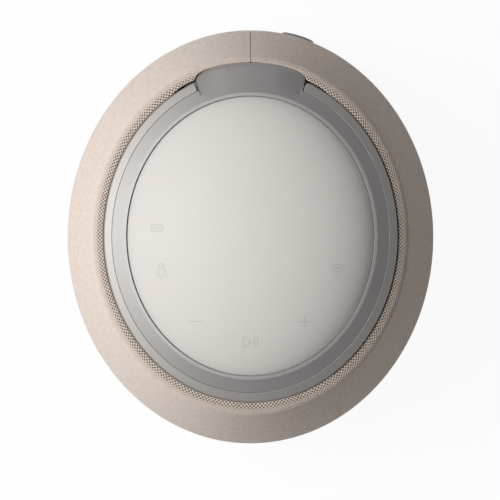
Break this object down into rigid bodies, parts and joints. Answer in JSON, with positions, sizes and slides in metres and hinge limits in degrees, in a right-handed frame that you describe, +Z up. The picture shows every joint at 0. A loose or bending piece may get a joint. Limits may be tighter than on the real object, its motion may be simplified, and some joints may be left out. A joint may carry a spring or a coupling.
{
  "type": "smart speaker",
  "caption": "Portable oval table speaker with a fabric sleeve, light dome with touch symbols, folding carry handle and a rear panel with button and covered charging port.",
  "frame": {"origin": "centre of the rubber foot's underside, on the table", "axes": "+Z up, front towards -Y, handle hinge and rear panel towards +Y"},
  "size_m": [0.135, 0.1524, 0.1535],
  "materials": {
    "rubber": "matte moulded rubber",
    "base": "fine moulded texture",
    "steel": "plated steel",
    "fabric": "plain woven polyester",
    "inner": "moulded plastic",
    "cell_wrap": "metal can in printed shrink wrap",
    "board": "glass-fibre circuit board",
    "magnet": "sintered magnet",
    "coil": "wound copper wire",
    "cone": "pressed fibre",
    "soft": "soft rubber",
    "weight": "cast plate",
    "lamp": "phosphor emitters",
    "dome": "opal polycarbonate",
    "film": "clear printed film",
    "bezel": "satin moulded plastic",
    "handle": "satin moulded plastic",
    "panel": "satin moulded plastic"
  },
  "bodies": {
    "speaker": {"rubber_foot": "rubber", "base_cover": "base", "base_screws": "steel", "cabinet_screws": "steel", "fabric_sleeve": "fabric", "grille_cage": "inner", "cabinet_shell": "inner", "baffle_plate": "inner", "baffle_screws": "steel", "driver_screws": "steel", "battery_tray": "inner", "battery_cells": "cell_wrap", "amplifier_board": "board", "driver_basket": "inner", "front_plate": "steel", "magnet_ring": "magnet", "magnet_yoke": "steel", "cone_surround": "soft", "spider": "cone", "radiator_frame": "inner", "radiator_surround": "soft", "sound_reflector": "inner", "top_frame": "inner", "top_screws": "steel", "lamp_board": "board", "lamp_emitters": "lamp", "lamp_screws": "steel", "dome_gasket": "soft", "light_dome": "dome", "touch_film": "film", "bezel_ring": "bezel", "hinge_pin_left": "steel", "hinge_pin_right": "steel", "control_panel": "panel", "tact_switch": "steel", "charge_socket": "steel", "port_board": "board"},
    "handle": {"carry_handle": "handle"},
    "cone": {"voice_coil": "coil", "driver_cone": "cone", "dust_cap": "cone"},
    "radiator": {"radiator_plate": "weight"},
    "button": {"power_button": "panel"},
    "cover": {"port_cover": "soft"}
  },
  "joints": [
    {"name": "handle_swing", "type": "hinge", "parent": "speaker", "child": "handle", "pos_m": [0, 0.05131, 0.1361], "axis": [-1, 0, 0], "range_deg": [0, 95]},
    {"name": "cone_travel", "type": "slide", "parent": "speaker", "child": "cone", "axis": [0, 0, 1], "range_m": [-0.002, 0.002], "stiffness_N_per_m": 1500, "deforming": ["cone_surround", "spider"]},
    {"name": "radiator_travel", "type": "slide", "parent": "speaker", "child": "radiator", "axis": [0, 0, 1], "range_m": [-0.003, 0.003], "stiffness_N_per_m": 800, "deforming": ["radiator_surround"]},
    {"name": "power_press", "type": "slide", "parent": "speaker", "child": "button", "axis": [-0.2897, -0.9571, 0], "range_m": [0, 0.0006], "stiffness_N_per_m": 400},
    {"name": "cover_swing", "type": "hinge", "parent": "speaker", "child": "cover", "pos_m": [0.01741, 0.07344, 0.01773], "axis": [-0.9571, 0.2897, 0], "range_deg": [0, 95], "stiffness_Nm_per_rad": 0.003}
  ]
}
